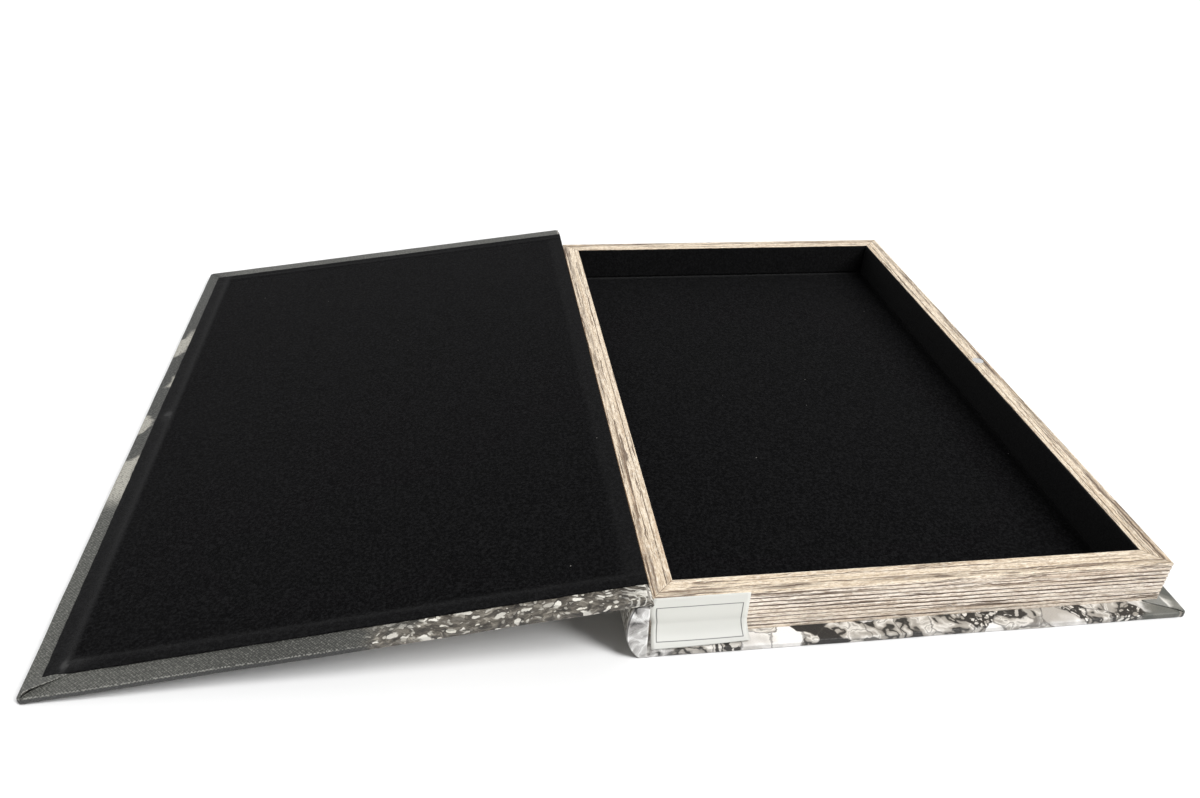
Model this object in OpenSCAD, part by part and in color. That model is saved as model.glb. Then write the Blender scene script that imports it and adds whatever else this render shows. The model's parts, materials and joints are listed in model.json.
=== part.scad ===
// A box in the shape of a large flat book, lying open.
// A tray of four mitred walls stands on the back cover. The front cover is the lid. It swings on the
// cover's own cloth, between the top of the rounded spine and the lid's near edge.
// X runs from the spine to the fore edge, Y along the spine and Z up from the table.
// The origin is the middle of the back cover's underside.

/* [Tray] */
// Width of the tray over its walls, from the spine to the fore edge
tray_w = 215; // [160:1:300]
// Length of the tray over its walls, along the spine
tray_l = 326; // [220:1:420]
// Height of the walls above the back cover
wall_h = 20; // [17:1:40]
// Thickness of the walls, which is the width of the rim
wall_t = 9.2; // [8:0.2:14]

/* [Page edges] */
// Number of grooves along the outer sides, which look like the edges of pages
groove_n = 9; // [4:1:10]
// Depth of a groove
groove_d = 0.4; // [0.2:0.1:0.8]
// Width of a groove at the surface
groove_w = 0.9; // [0.5:0.1:1.2]
// Plain band above the highest groove and below the lowest
groove_band = 1.3; // [0.8:0.1:2]
// Distance of the scored line on the rim from the rim's inner edge
rim_line_in = 2.5; // [1.5:0.1:3]
// Depth of the scored line
rim_line_d = 0.25; // [0.1:0.05:0.4]
// Width of the scored line at the surface
rim_line_w = 0.6; // [0.3:0.1:1]
// Thickness of the wood-grain foil round the walls
foil_t = 0.25; // [0.15:0.05:0.4]

/* [Cover] */
// Thickness of the boards in the cover
board_t = 2.2; // [1.5:0.1:3.5]
// Thickness of the printed cloth
cloth_t = 0.3; // [0.2:0.05:0.5]
// How far the cover stands out past the tray at the front, the back and the fore edge
overhang = 8.2; // [6:0.1:12]
// Width of cloth that is turned in round a board's edge
turn_in = 15; // [12.2:0.1:17]
// Radius of the cover's corners, seen from above
corner_r = 1.6; // [0.8:0.1:4]

/* [Spine] */
// Thickness of the rounded spine halfway up
spine_t = 8.3; // [5:0.1:12]
// Thickness that the spine's curve runs out to at the top and the foot
spine_edge_t = 3; // [2.4:0.1:3.6]
// Radius of the spine's outer corners at the top and the foot
spine_r = 2; // [1:0.1:2.4]
// Space between the spine and the tray
spine_gap = 2.5; // [2:0.1:4]

/* [Hinge] */
// Distance of the fold line from the tray's spine side
fold_out = 1.7; // [1:0.1:1.9]
// Distance of the fold line from the lid's outer face
fold_drop = 0.4; // [0.3:0.1:0.8]
// Clearance between the closed lid's lining and the rim
closed_gap = 0.3; // [0.2:0.1:1]
// Clearance between the hinge cloth's edge and the edge of the lid's cloth
edge_gap = 0.05; // [0.02:0.01:0.1]

/* [Lining] */
// Thickness of the black felt
felt_t = 0.6; // [0.4:0.1:1.2]
// Bare cloth between the lid's felt and the lid's fore edge
felt_margin_fore = 6.5; // [4:0.1:10]
// Bare cloth between the lid's felt and the lid's front and back edges
felt_margin_end = 8.5; // [4:0.1:10]
// How far the felt on the walls stays below the rim
felt_drop = 0.3; // [0.1:0.1:1]

/* [Magnets] */
// Diameter of both magnets
magnet_d = 6; // [4:0.5:7]
// Thickness of the magnet in the wall
magnet_t = 3; // [2:0.5:5]
// Depth of the wall magnet's face below the rim
magnet_recess = 0.2; // [0.1:0.1:0.5]
// Clearance round a magnet in its hole
magnet_fit = 0.05; // [0.02:0.01:0.15]
// Thickness of the magnet in the lid
lid_magnet_t = 1.2; // [0.8:0.1:1.4]

/* [Label] */
// Width of the blank price label
label_w = 38; // [25:1:60]
// Length of the label's lower end, which is folded on to the back cover
label_fold = 5.4; // [2:0.1:5.8]
// Thickness of the label
label_t = 0.12; // [0.08:0.01:0.2]

/* [Hidden] */

$fn = 48;
// Length by which a cutting solid runs past what it cuts
cut = 1;

// Cover and tray
cover_t = board_t + 2 * cloth_t;
base_w = tray_w + overhang;
base_l = tray_l + 2 * overhang;
tray_x = -base_w / 2;
rim_z = cover_t + wall_h;
// Height of a board's inner face over the outer face of its cloth
board_top = cloth_t + board_t;

// Hinge: the lid turns about the fold line, and slopes when open until its fore edge meets the table
fold_x = tray_x - fold_out;
fold_z = rim_z + closed_gap + cover_t + felt_t + fold_drop;
lid_w = base_w / 2 - fold_x;
open_slope = asin(fold_z / norm([lid_w, fold_drop])) + atan(fold_drop / lid_w);

// Spine: as high as the shut box, flat towards the tray and round outside
spine_x = tray_x - spine_gap;
spine_h = fold_z - fold_drop;
bulge = spine_t - spine_edge_t;
arc_r = (pow(spine_h / 2, 2) + pow(bulge, 2)) / (2 * bulge);
arc_centre = [spine_x - spine_t + arc_r, spine_h / 2];
// Half the angle of the round side, between the points where it turns into the corners
arc_turn = asin((spine_h / 2 - spine_r) / (arc_r - spine_r));

// Magnets: the lid's lies over the tray's when the lid is shut
magnet_x = tray_x + tray_w - wall_t / 2;

// Numbers of flats round the spine's long curve and round a corner
arc_n = 24;
corner_n = 6;

function direction(angle) = [cos(angle), sin(angle)];

// Section of the spine, skin in from the outer face of its cloth, as world X and Z
function spine_section(skin) = concat(
    [for (i = [0 : corner_n])
        arc_centre + (arc_r - spine_r) * direction(180 - arc_turn)
            + (spine_r - skin) * direction(90 + (90 - arc_turn) * i / corner_n)],
    [for (i = [1 : arc_n - 1])
        arc_centre + (arc_r - skin) * direction(180 + arc_turn * (2 * i / arc_n - 1))],
    [for (i = [0 : corner_n])
        arc_centre + (arc_r - spine_r) * direction(180 + arc_turn)
            + (spine_r - skin) * direction(180 + arc_turn + (90 - arc_turn) * i / corner_n)],
    [[spine_x - skin, skin], [spine_x - skin, spine_h - skin]]
);

// A point of the lid, along it from the fold line and up from there, as world X and Z
function lid_point(along, up) = [
    fold_x - along * cos(open_slope) - up * sin(open_slope),
    fold_z - along * sin(open_slope) + up * cos(open_slope)
];

// Plan of a cover panel: square at the spine side, where x is 0, and round at the fore edge's corners
module panel_plan(w, l, r) {
    translate([0, -l / 2]) square([w - r, l]);
    translate([0, r - l / 2]) square([w, l - 2 * r]);
    for (side = [-1, 1])
        translate([w - r, side * (l / 2 - r)]) circle(r);
}

// Cloth that wraps a panel w wide, turned in on three sides, with its outer face at z = 0
module wrapping(w) {
    window_l = base_l - 2 * turn_in;
    difference() {
        linear_extrude(cover_t) panel_plan(w, base_l, corner_r);
        translate([-cut, 0, cloth_t]) linear_extrude(board_t)
            panel_plan(w + cut - cloth_t, base_l - 2 * cloth_t, corner_r - cloth_t);
        translate([-cut, -window_l / 2, board_top]) cube([w + cut - turn_in, window_l, cover_t]);
    }
}

// Board inside that cloth, from x = start
module stiffening(w, start) {
    translate([start, 0, cloth_t]) linear_extrude(board_t)
        panel_plan(w - start - cloth_t, base_l - 2 * cloth_t, corner_r - cloth_t);
}

// Puts a piece of the lid, made with its outer face at z = 0 and its hinge edge at x = 0, in place
module on_lid() {
    translate([fold_x, 0, fold_z]) rotate([0, -open_slope, 0])
        translate([0, 0, fold_drop]) mirror([1, 0, 0]) children();
}

// The spine, skin in from the outer face of its cloth
module spine_solid(skin) {
    rotate([90, 0, 0]) linear_extrude(base_l - 2 * skin, center = true) polygon(spine_section(skin));
}

// Section of a wall with its outer side at x = skin and its top at y = wall_h - skin
module wall_section(skin) {
    pitch = (wall_h - 2 * groove_band - groove_w) / (groove_n - 1);
    line_x = wall_t - rim_line_in;
    grooves = [
        for (i = [0 : groove_n - 1])
            for (step = [[-1, 0], [0, 1], [1, 0]])
                [
                    skin + step[1] * groove_d,
                    groove_band + groove_w / 2 + i * pitch + step[0] * groove_w / 2
                ]
    ];
    top = [
        [skin, wall_h - skin],
        [line_x - rim_line_w / 2, wall_h - skin],
        [line_x, wall_h - skin - rim_line_d],
        [line_x + rim_line_w / 2, wall_h - skin],
        [wall_t, wall_h - skin]
    ];
    polygon(concat([[skin, 0]], grooves, top, [[wall_t, 0]]));
}

// A wall l long with mitred ends, its outer lower edge along X; its child is its section
module mitred(l) {
    intersection() {
        rotate([90, 0, 90]) linear_extrude(l) children();
        translate([0, 0, -cut]) linear_extrude(wall_h + 2 * cut)
            polygon([[-cut, -cut], [l + cut, -cut], [l - wall_t, wall_t], [wall_t, wall_t]]);
    }
}

// Puts a wall in place: side 0 is the front, 1 the fore edge, 2 the back and 3 the spine side
module on_side(side) {
    corner = [
        [tray_x, -tray_l / 2],
        [tray_x + tray_w, -tray_l / 2],
        [tray_x + tray_w, tray_l / 2],
        [tray_x, tray_l / 2]
    ];
    translate([corner[side][0], corner[side][1], cover_t]) rotate([0, 0, 90 * side]) children();
}

function side_l(side) = side % 2 == 0 ? tray_w : tray_l;

module wall_core(side) {
    color("#b9a88c") on_side(side) mitred(side_l(side)) wall_section(foil_t);
}

module wall_foil(side) {
    color("#cdbda2") on_side(side) mitred(side_l(side)) difference() {
        wall_section(0);
        wall_section(foil_t);
    }
}

// Felt on a wall's inner side; the front and back strips run the whole length between the walls
module wall_felt(side) {
    from = wall_t + (side % 2 == 0 ? 0 : felt_t);
    bottom = board_top + felt_t - cover_t;
    color("#161616") on_side(side) translate([from, wall_t, bottom])
        cube([side_l(side) - 2 * from, felt_t, wall_h - felt_drop - bottom]);
}

// Hole for the wall's magnet, open at the rim
module magnet_bore() {
    translate([magnet_x, 0, rim_z - magnet_recess - magnet_t])
        cylinder(d = magnet_d + 2 * magnet_fit, h = magnet_recess + magnet_t + cut);
}

module base_board() {
    color("#8c8577") translate([tray_x, 0, 0]) stiffening(base_w, 0);
}

module base_cloth() {
    color("#77756f") translate([tray_x, 0, 0]) wrapping(base_w);
}

module spine_core() {
    color("#b9a88c") spine_solid(cloth_t);
}

// The cloth goes round the core, closes both its ends and is turned in there on the flat side
module spine_cloth() {
    window_l = base_l - 2 * turn_in;
    color("#9a9893") difference() {
        spine_solid(0);
        spine_solid(cloth_t);
        translate([spine_x - cloth_t - cut, -window_l / 2, cloth_t])
            cube([cloth_t + 2 * cut, window_l, spine_h - 2 * cloth_t]);
    }
}

// The cloth runs from the spine's foot to the back cover and meets the cloth of both edge to edge
module joint_cloth() {
    color("#9a9893") translate([spine_x, -base_l / 2, 0]) cube([spine_gap, base_l, cloth_t]);
}

// The cloth leaves the spine's top, passes the fold line and meets the lid's cloth edge to edge
module hinge_cloth() {
    color("#83817c") rotate([90, 0, 0]) linear_extrude(base_l, center = true) polygon([
        [spine_x, spine_h - cloth_t],
        [spine_x, spine_h],
        lid_point(-edge_gap, fold_drop),
        lid_point(-edge_gap, fold_drop + cloth_t),
        lid_point(-edge_gap - cloth_t, fold_drop + cloth_t),
        lid_point(-edge_gap - cloth_t, fold_drop)
    ]);
}

module front_wall() wall_core(0);

module fore_edge_wall() {
    difference() {
        wall_core(1);
        magnet_bore();
    }
}

module back_wall() wall_core(2);

module spine_wall() wall_core(3);

module front_wall_foil() wall_foil(0);

module fore_edge_wall_foil() {
    difference() {
        wall_foil(1);
        magnet_bore();
    }
}

module back_wall_foil() wall_foil(2);

module spine_wall_foil() wall_foil(3);

module floor_felt() {
    color("#131313") translate([tray_x + wall_t, wall_t - tray_l / 2, board_top])
        cube([tray_w - 2 * wall_t, tray_l - 2 * wall_t, felt_t]);
}

module front_wall_felt() wall_felt(0);

module fore_edge_wall_felt() wall_felt(1);

module back_wall_felt() wall_felt(2);

module spine_wall_felt() wall_felt(3);

module tray_magnet() {
    color("#b8babd") translate([magnet_x, 0, rim_z - magnet_recess - magnet_t])
        cylinder(d = magnet_d, h = magnet_t);
}

// A blank label from the rim's edge down the front wall, its lower end folded on to the back cover
module price_label() {
    color("#efece4") translate([tray_x, -tray_l / 2, cover_t]) {
        translate([0, -label_t, 0]) cube([label_w, label_t, wall_h]);
        translate([0, -label_fold, 0]) cube([label_w, label_fold, label_t]);
    }
}

module lid_board() {
    color("#8c8577") on_lid() difference() {
        stiffening(lid_w, felt_t);
        translate([magnet_x - fold_x, 0, board_top - lid_magnet_t])
            cylinder(d = magnet_d + 2 * magnet_fit, h = lid_magnet_t + cut);
    }
}

module lid_cloth() {
    color("#5f5e5b") on_lid() wrapping(lid_w);
}

// The felt lies on the board, steps up over the turn-ins and turns down over the hinge edge
module lid_felt() {
    felt_l = base_l - 2 * felt_margin_end;
    window_l = base_l - 2 * turn_in;
    color("#131313") on_lid() {
        translate([0, -felt_l / 2, cloth_t]) cube([felt_t, felt_l, board_t]);
        translate([0, -window_l / 2, board_top]) cube([lid_w - turn_in, window_l, felt_t]);
        difference() {
            translate([0, -felt_l / 2, cover_t]) cube([lid_w - felt_margin_fore, felt_l, felt_t]);
            translate([-cut, -window_l / 2, cover_t - cut])
                cube([lid_w + cut - turn_in, window_l, felt_t + 2 * cut]);
        }
    }
}

module lid_magnet() {
    color("#b8babd") on_lid() translate([magnet_x - fold_x, 0, board_top - lid_magnet_t])
        cylinder(d = magnet_d, h = lid_magnet_t);
}

base_board();
base_cloth();
spine_core();
spine_cloth();
joint_cloth();
hinge_cloth();
front_wall();
fore_edge_wall();
back_wall();
spine_wall();
front_wall_foil();
fore_edge_wall_foil();
back_wall_foil();
spine_wall_foil();
floor_felt();
front_wall_felt();
fore_edge_wall_felt();
back_wall_felt();
spine_wall_felt();
tray_magnet();
price_label();
lid_board();
lid_cloth();
lid_felt();
lid_magnet();
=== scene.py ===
import json
import math

import bmesh
import bpy
import numpy as np
from mathutils import Matrix, Vector, noise


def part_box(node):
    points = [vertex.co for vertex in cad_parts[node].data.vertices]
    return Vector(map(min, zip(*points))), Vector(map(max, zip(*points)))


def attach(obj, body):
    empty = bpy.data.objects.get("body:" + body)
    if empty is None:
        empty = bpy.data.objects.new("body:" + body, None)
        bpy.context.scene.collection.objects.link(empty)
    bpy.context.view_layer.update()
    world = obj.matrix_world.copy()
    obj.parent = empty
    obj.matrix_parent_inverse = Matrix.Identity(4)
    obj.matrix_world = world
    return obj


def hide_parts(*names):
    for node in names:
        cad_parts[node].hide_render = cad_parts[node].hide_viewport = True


# The looks of an open book-shaped box: cloth cover, felt linings, wood-grain foil, label, floor and lights.
# Lengths are metres. X runs from the spine to the fore edge, Y along the spine and Z up from the table.

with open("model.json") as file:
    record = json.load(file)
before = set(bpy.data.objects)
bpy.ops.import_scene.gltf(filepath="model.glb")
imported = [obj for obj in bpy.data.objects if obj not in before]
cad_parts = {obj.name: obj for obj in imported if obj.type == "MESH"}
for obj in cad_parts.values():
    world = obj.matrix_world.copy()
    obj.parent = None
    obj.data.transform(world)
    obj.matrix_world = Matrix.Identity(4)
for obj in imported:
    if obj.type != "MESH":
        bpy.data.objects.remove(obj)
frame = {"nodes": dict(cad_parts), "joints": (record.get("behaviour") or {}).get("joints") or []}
scene = bpy.context.scene
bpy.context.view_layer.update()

MM = 0.001
QUARTER = math.pi / 2

# Places and sizes read from the frame
fold_x, _, fold_z = frame["joints"][0]["pos_m"]
base_low, base_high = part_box("base_cloth")
wall_low, wall_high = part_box("front_wall_foil")
tray_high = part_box("back_wall_foil")[1]
floor_low, floor_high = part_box("floor_felt")
spine_low, spine_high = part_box("spine_cloth")
label_low, label_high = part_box("price_label")
COVER_L = base_high.y - base_low.y
COVER_T = base_high.z - base_low.z
WALL_T = floor_low.x - wall_low.x
RIM_Z = wall_high.z
WALL_H = RIM_Z - wall_low.z
LID_W = base_high.x - fold_x

# The cover's cloth and boards, and how strong the painted highlight is on a folded edge and the painted
# shade beside it
CLOTH_T = 0.3 * MM
THREAD = 1.3 * MM
TURN_IN = 15 * MM
CORNER_R = 1.6 * MM
EDGE_R = 0.55 * MM
EDGE_HIGHLIGHT = 1.0
EDGE_SHADE = 0.4
FLAP_HIGHLIGHT_W = 0.35 * MM
BOARD_END_R = 2.0 * MM
BASE_BOARD_START = wall_low.x - 1.5 * MM
FOLD_DROP = 0.4 * MM
OPEN_SLOPE = math.asin(fold_z / math.hypot(LID_W, FOLD_DROP)) + math.atan(FOLD_DROP / LID_W)

# Rows of points on a wrapped edge: in from it outside, up its side as shares, and in from it inside
OUTER_ROWS = (TURN_IN, 10 * MM, 6 * MM, 3.5 * MM, CORNER_R)
SIDE_ROWS = (0.06, 0.5, 0.94)
INNER_ROWS = (CORNER_R, *np.array((2.2, 3, 4, 5.2, 6.5, 8, 9.5, 11.5, 13.2)) * MM, TURN_IN)

# Each cover's corner flaps, front (-1) and back (1): how far they are pulled out and how high they curl
LID_FLAPS = {-1: (1.85, 1.45 * MM), 1: (1.5, 0.2 * MM)}
CASE_FLAPS = {-1: (2.0, 0.2 * MM), 1: (1.7, 0.15 * MM)}
FLAP_W = 10 * MM

# The rounded spine. SPINE_TOP_SHARE is how much of the lower half's curve the upper half has
SPINE_X = spine_high.x
SPINE_H = spine_high.z
SPINE_T = spine_high.x - spine_low.x
SPINE_EDGE_T = 3 * MM
SPINE_R = 2 * MM
SPINE_TOP_SHARE = 0.55

# The case's print along its flat cloth: where the spine ends, where the print grows soft and where the fore
# edge's turn-in begins. PATCHES is how many marbled patches there are in each metre
SPINE_RUN = 47.45 * MM
SOFT_FROM = 0.24445
FORE_TURN_IN = 0.27095
PATCHES = 78

# The lid's print along its flat cloth, below zero from the hinge: where it ends, and how much sooner at the
# back. Then where the plain grey dims, where the fore edge's dark begins, and where along it pale blots lie
PRINT_END = (-0.108, -0.085)
PRINT_LESS = 0.11
BACK_FROM = (0.04, 0.11)
DIM_FROM = (-0.215, -0.13)
FORE_FROM = (-0.2, -0.222)
FORE_DARK = (-0.075, 0.0)
BLOTS_AT = 0.015
BLOTS_REACH = (0.085, 0.07)

# Pale lines by the hinge: how far they reach, and half of how far apart they are
HINGE_PRINT = 9 * MM
HINGE_LINES = 1.1 * MM

# The felt: how far in from the lid's edges it is, how wide its steps are, a rubbed mark and a raised blob.
# The last two hold pairs in millimetres: in from an edge of the panel, and how far its face drops there
FELT_T = 0.6 * MM
FELT_SKIN = 0.5 * MM
FLOOR_FELT_SKIN = 0.55 * MM
FELT_IN_FORE = 6.5 * MM
FELT_IN_END = 8.5 * MM
FELT_STEP_W = 2.6 * MM
FELT_HINGE_W = 9.5 * MM
FELT_MARK = (LID_W - 11 * MM, 3 * MM)
FELT_BLOB = (LID_W - 17 * MM, 12.5 * MM - COVER_L / 2)
FELT_BLOB_H = 0.22 * MM
FELT_FORE_DROPS = ((0.45, 0.0), (0.12, 0.1), (0.0, 0.38))
FELT_END_DROPS = ((0.35, 0.02), (0.12, 0.12), (0.0, 0.38))

# The walls, round the tray from the front, with how much painted light each one's felt gets, most on the
# fore edge's wall, which gets the least light
WALLS = {"front": 0.35, "fore_edge": 1.0, "back": 0.35, "spine": 0.35}

# The mouldings' grooves and rim line, their foil, and the magnet's hole in it
FOIL_SKIN = 0.2 * MM
GROOVE_N = 9
GROOVE_D = 0.26 * MM
GROOVE_W = 0.9 * MM
GROOVE_BAND = 1.3 * MM
RIM_LINE_IN = 2.5 * MM
RIM_LINE_D = 0.25 * MM
RIM_LINE_W = 0.6 * MM
RIM_EDGE_R = 0.3 * MM
RIM_CRACK_IN = 3.9 * MM
FOIL_SHIFT = 0.31
FOIL_STEP = 1.7
MAGNET_R = 3.05 * MM
MAGNET_ROOM = 4.2 * MM

# The label's bend over the cover, how it spreads there, and how far in the frame printed on it is
LABEL_SKIN = 0.1 * MM
LABEL_OUT = 0.12 * MM
LABEL_BEND = math.radians(72)
LABEL_MORE = 2.1 * MM
LABEL_BOW = 1.9 * MM
LABEL_L = 24.0 * MM
FRAME_IN = 2.4 * MM
FRAME_TOP = 5.2 * MM
FRAME_FOOT = 2.6 * MM

# The camera, fitted to the box's corners in the photograph
CAMERA_AT = (-0.17821, -0.42007, 0.27941)
CAMERA_LOOK = (0.13776, 0.83095, -0.53902)
CAMERA_ROLL = math.radians(2.933)
CAMERA_LENS = 28.931
SENSOR_W = 36

# The main light, a tall narrow strip of suns whose direction follows from the spine's shadow, and the floor
KEY_TURN = math.radians(-38)
KEY_LIFTS = (35, 52, 69)
KEY_ENERGY = 1.18
KEY_ANGLE = math.radians(17)
FLOOR_HALF = 12.0
FLOOR_DROP = 0.1 * MM


class Shader:
    """The node tree of a material or the world, with short calls for its nodes."""

    def __init__(self, owner, end="Principled BSDF"):
        owner.use_nodes = True
        self.owner = owner
        self.tree = owner.node_tree
        self.end = self.tree.nodes[end]

    def add(self, kind, inputs=None, **settings):
        """A node with its settings, and its inputs given by name or number as values or sockets."""
        made = self.tree.nodes.new(f"ShaderNode{kind}")
        for key, value in settings.items():
            setattr(made, key, value)
        for key, value in (inputs or {}).items():
            self.feed(made.inputs[key], value)
        return made

    def feed(self, socket, value):
        if isinstance(value, bpy.types.NodeSocket):
            self.tree.links.new(value, socket)
        else:
            socket.default_value = value

    def set(self, **inputs):
        """Inputs of the last shader, with spaces in their names written as underscores."""
        for key, value in inputs.items():
            self.feed(self.end.inputs[key.replace("_", " ")], value)

    def sheet_place(self):
        """Where a point lies on its flat sheet, in metres."""
        return self.add("UVMap", uv_map="flat").outputs["UV"]

    def place(self, kind="Object"):
        return self.add("TexCoord").outputs[kind]

    def groove(self):
        """What the mesh keeps at each point: how deep in a groove on the foil, the painted highlight and
        shade of the cloth's edges, and the felt's painted sheen, painted light and marks.
        """
        return self.add("Attribute", attribute_name="groove").outputs["Fac"]

    def parts(self, vector):
        """The three parts of a vector or a colour."""
        return self.add("SeparateXYZ", {0: vector}).outputs

    def noise(self, vector, scale, detail=2.0, roughness=0.5, distortion=0.0, output="Fac"):
        inputs = {"Vector": vector, "Scale": scale, "Detail": detail, "Roughness": roughness}
        return self.add("TexNoise", {**inputs, "Distortion": distortion}).outputs[output]

    def cells(self, vector, scale, feature="F1"):
        return self.add("TexVoronoi", {"Vector": vector, "Scale": scale}, feature=feature).outputs

    def scaled(self, vector, across, along):
        return self.add("Mapping", {"Vector": vector, "Scale": (across, along, 1)}).outputs[0]

    def vector(self, operation, *values):
        return self.add("VectorMath", dict(enumerate(values)), operation=operation).outputs

    def wander(self, vector, at, scale, amount, detail=2.0):
        """vector moved by amount times a colour noise from -0.5 to 0.5, read at another place."""
        shift = self.noise(at, scale, detail, output="Color")
        centred = self.vector("SUBTRACT", shift, (0.5, 0.5, 0.5))[0]
        return self.vector("MULTIPLY_ADD", centred, (amount, amount, 0), vector)[0]

    def math(self, operation, a, b=0.0, c=0.0):
        return self.add("Math", {0: a, 1: b, 2: c}, operation=operation).outputs[0]

    def times(self, a, b):
        return self.math("MULTIPLY", a, b)

    def minus(self, a, b):
        return self.math("SUBTRACT", a, b)

    def most(self, a, b):
        return self.math("MAXIMUM", a, b)

    def linear(self, value, slope, start):
        """value times slope plus start."""
        return self.math("MULTIPLY_ADD", value, slope, start)

    def apart(self, a, b):
        """How far a and b are from each other."""
        return self.math("ABSOLUTE", self.minus(a, b))

    def range(self, value, low, high, to_low=0.0, to_high=1.0):
        """value from low to high, moved to to_low and to_high with soft ends."""
        inputs = dict(enumerate((value, low, high, to_low, to_high)))
        return self.add("MapRange", inputs, interpolation_type="SMOOTHSTEP").outputs[0]

    def ramp(self, value, *stops):
        """The colours of the stops, each given as (place, colour), blended along value."""
        made = self.add("ValToRGB", {"Fac": value})
        elements = made.color_ramp.elements
        while len(elements) < len(stops):
            elements.new(0.5)
        for element, (place, colour) in zip(elements, stops):
            element.position = place
            element.color = (*colour, 1)
        return made.outputs["Color"]

    def mix(self, share, a, b, blend="MIX"):
        """Two colours blended, the second by the share given."""
        a, b = ((*colour, 1) if isinstance(colour, tuple) else colour for colour in (a, b))
        return self.add("Mix", {0: share, 6: a, 7: b}, data_type="RGBA", blend_type=blend).outputs[2]

    def bump(self, height, distance, strength=1.0):
        return self.add("Bump", {"Height": height, "Distance": distance, "Strength": strength}).outputs[0]


def material(name, paint, *tones):
    """A new material, painted by the function given."""
    s = Shader(bpy.data.materials.new(name))
    paint(s, *tones)
    return s.owner


def weave(s, flat):
    """Height of a plain weave, from about 0 in the gaps to 1 on the tops of the threads."""
    across, along, _ = s.parts(s.wander(flat, flat, 520, THREAD * 0.9))
    warp, weft = (s.math("SINE", s.times(run, 2 * math.pi / THREAD)) for run in (across, along))
    slub = s.linear(s.noise(flat, 900, roughness=0.6), 2.0, -0.5)
    return s.linear(s.times(warp, weft), 0.38, slub)


def chips(s, drawn, scale, keep):
    """Chips of many sizes in the share keep of the cells: 1 on a chip and 0 beside it, and its tone."""
    cell = s.cells(drawn, scale)
    size, tone, _ = s.parts(cell["Color"])
    reach = s.linear(size, 0.95, -0.95 * (1 - keep))
    return s.range(s.minus(cell["Distance"], reach), 0.05, -0.09), tone


def marbled_paper(s, drawn):
    """Crisp dark-edged patches for the case: cream, swirled greys, chips and near-black."""
    swirl = s.math("PINGPONG", s.times(s.noise(drawn, 95), 7.0), 1.0)
    swirled = s.ramp(
        swirl,
        (0.0, (0.02, 0.018, 0.016)), (0.16, (0.07, 0.064, 0.056)), (0.26, (0.33, 0.305, 0.27)),
        (0.55, (0.46, 0.43, 0.385)), (0.85, (0.8, 0.77, 0.72)), (1.0, (0.3, 0.28, 0.25)),
    )
    pale = s.mix(s.range(s.noise(drawn, 70), 0.35, 0.6), (0.47, 0.44, 0.4), (0.92, 0.9, 0.87))
    chip, tone = chips(s, drawn, 520, 0.9)
    chipped = s.mix(chip, (0.032, 0.028, 0.024), s.mix(tone, (0.3, 0.275, 0.24), (0.86, 0.83, 0.77)))
    patch = s.parts(s.cells(drawn, PATCHES)["Color"])[0]
    colour = pale
    kinds = ((0.24, swirled), (0.6, chipped), (0.84, (0.024, 0.022, 0.02)), (0.92, (0.38, 0.36, 0.325)))
    for start, kind in kinds:
        colour = s.mix(s.range(patch, start, start + 0.01), colour, kind)
    outline = s.range(s.cells(drawn, PATCHES, "DISTANCE_TO_EDGE")["Distance"], 0.035, 0.012, 0.0, 0.6)
    return s.mix(outline, colour, (0.05, 0.045, 0.04))


def pebbled_paper(s, drawn):
    """Pale chips, large and small, on a dark brown-grey ground, with pale curved lines by the hinge."""
    longer = s.scaled(drawn, 0.62, 1)
    ground = s.ramp(
        s.noise(longer, 330, 3.0, 0.65, 0.6),
        (0.34, (0.022, 0.019, 0.016)), (0.5, (0.095, 0.083, 0.068)),
        (0.6, (0.2, 0.18, 0.148)), (0.7, (0.44, 0.41, 0.35)),
    )
    large, large_tone = chips(s, longer, 400, 0.66)
    small, small_tone = chips(s, longer, 780, 0.62)
    colour = s.mix(small, ground, s.mix(small_tone, (0.07, 0.06, 0.05), (0.78, 0.75, 0.66)))
    colour = s.mix(large, colour, s.mix(large_tone, (0.22, 0.2, 0.165), (0.88, 0.85, 0.77)))
    centre = (-HINGE_PRINT, -COVER_L / 2 - COVER_T - 1 * MM, 0)
    ring = s.vector("LENGTH", s.vector("SUBTRACT", drawn, centre)[0])["Value"]
    pale = s.range(s.math("PINGPONG", s.times(ring, 1 / HINGE_LINES), 1.0), 0.55, 0.9, 0.0, 0.75)
    pale = s.times(pale, s.range(s.parts(drawn)[0], -HINGE_PRINT, -4 * MM))
    return s.mix(pale, colour, (0.72, 0.7, 0.64))


def case_print(s, across, along, torn, soft, pebbled):
    """The spine pebbled and veined at its ends, then the back cover marbled, soft, and last plain dark."""
    veined = s.ramp(
        s.noise(soft, 150, 3.0, distortion=0.8),
        (0.34, (0.05, 0.047, 0.044)), (0.43, (0.4, 0.385, 0.37)),
        (0.54, (0.66, 0.645, 0.625)), (0.62, (0.92, 0.91, 0.89)),
    )
    blurred = s.ramp(
        s.noise(soft, 62, 1.0),
        (0.4, (0.1, 0.103, 0.09)), (0.52, (0.21, 0.205, 0.18)), (0.6, (0.78, 0.76, 0.71)),
    )
    at_end = s.range(s.math("ABSOLUTE", along), COVER_L / 2 - 2 * MM, COVER_L / 2 - 0.6 * MM)
    spine = s.mix(at_end, pebbled, veined)
    colour = s.mix(s.range(across, SPINE_RUN - 1 * MM, SPINE_RUN + 1 * MM), spine, marbled_paper(s, torn))
    colour = s.mix(s.range(s.parts(torn)[0], SOFT_FROM - 2 * MM, SOFT_FROM + 2 * MM), colour, blurred)
    turned_in = s.range(across, FORE_TURN_IN, FORE_TURN_IN + 1 * MM, 0.0, 0.8)
    return s.mix(turned_in, colour, (0.115, 0.12, 0.108))


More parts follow.
